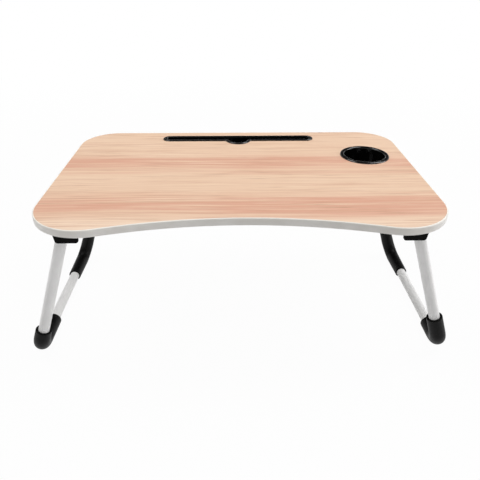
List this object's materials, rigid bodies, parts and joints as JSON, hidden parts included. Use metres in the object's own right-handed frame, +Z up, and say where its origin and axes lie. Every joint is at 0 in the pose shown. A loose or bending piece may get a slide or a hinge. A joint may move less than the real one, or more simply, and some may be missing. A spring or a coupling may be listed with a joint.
{
  "type": "folding laptop table",
  "caption": "Low bed table with a wood-grain board, hollowed front edge, tablet slot, cup holder and white U-shaped tube legs in rubber boots that fold flat beneath it.",
  "frame": {"origin": "on the floor, under the middle of the tabletop", "axes": "+X to the right along the table's length, +Y to the rear, +Z up"},
  "size_m": [0.6942, 0.4, 0.2651],
  "materials": {
    "fibreboard": "raw fibreboard",
    "wood_grain": "satin wood-grain laminate",
    "white_sheet": "matte white sheet",
    "white_band": "satin white plastic",
    "black_gloss": "gloss black plastic",
    "black_moulded": "moulded black plastic",
    "white_tube": "white powder coat on steel",
    "black_rubber": "matte black rubber",
    "steel": "zinc-plated steel"
  },
  "bodies": {
    "tabletop": {"board_core": "fibreboard", "top_laminate": "wood_grain", "base_laminate": "white_sheet", "edge_band": "white_band", "slot_insert": "black_gloss", "cup_holder": "black_gloss", "leg_clip": "black_moulded", "bracket_screws": "steel", "clip_screws": "steel", "front_left_bracket": "black_moulded", "front_left_pin": "steel", "rear_left_bracket": "black_moulded", "rear_left_pin": "steel", "front_right_bracket": "black_moulded", "front_right_pin": "steel", "rear_right_bracket": "black_moulded", "rear_right_pin": "steel"},
    "left_leg": {"left_leg_tube": "white_tube", "front_left_boot": "black_rubber", "front_left_knuckle": "black_moulded", "rear_left_boot": "black_rubber", "rear_left_knuckle": "black_moulded"},
    "right_leg": {"right_leg_tube": "white_tube", "front_right_boot": "black_rubber", "front_right_knuckle": "black_moulded", "rear_right_boot": "black_rubber", "rear_right_knuckle": "black_moulded"}
  },
  "joints": [
    {"name": "left_leg_fold", "type": "hinge", "parent": "tabletop", "child": "left_leg", "pos_m": [-0.2555, 0, 0.23524], "axis": [0, -1, 0], "range_deg": [0, 109.4]},
    {"name": "right_leg_fold", "type": "hinge", "parent": "tabletop", "child": "right_leg", "pos_m": [0.2555, 0, 0.23524], "axis": [0, 1, 0], "range_deg": [0, 109.4]}
  ]
}
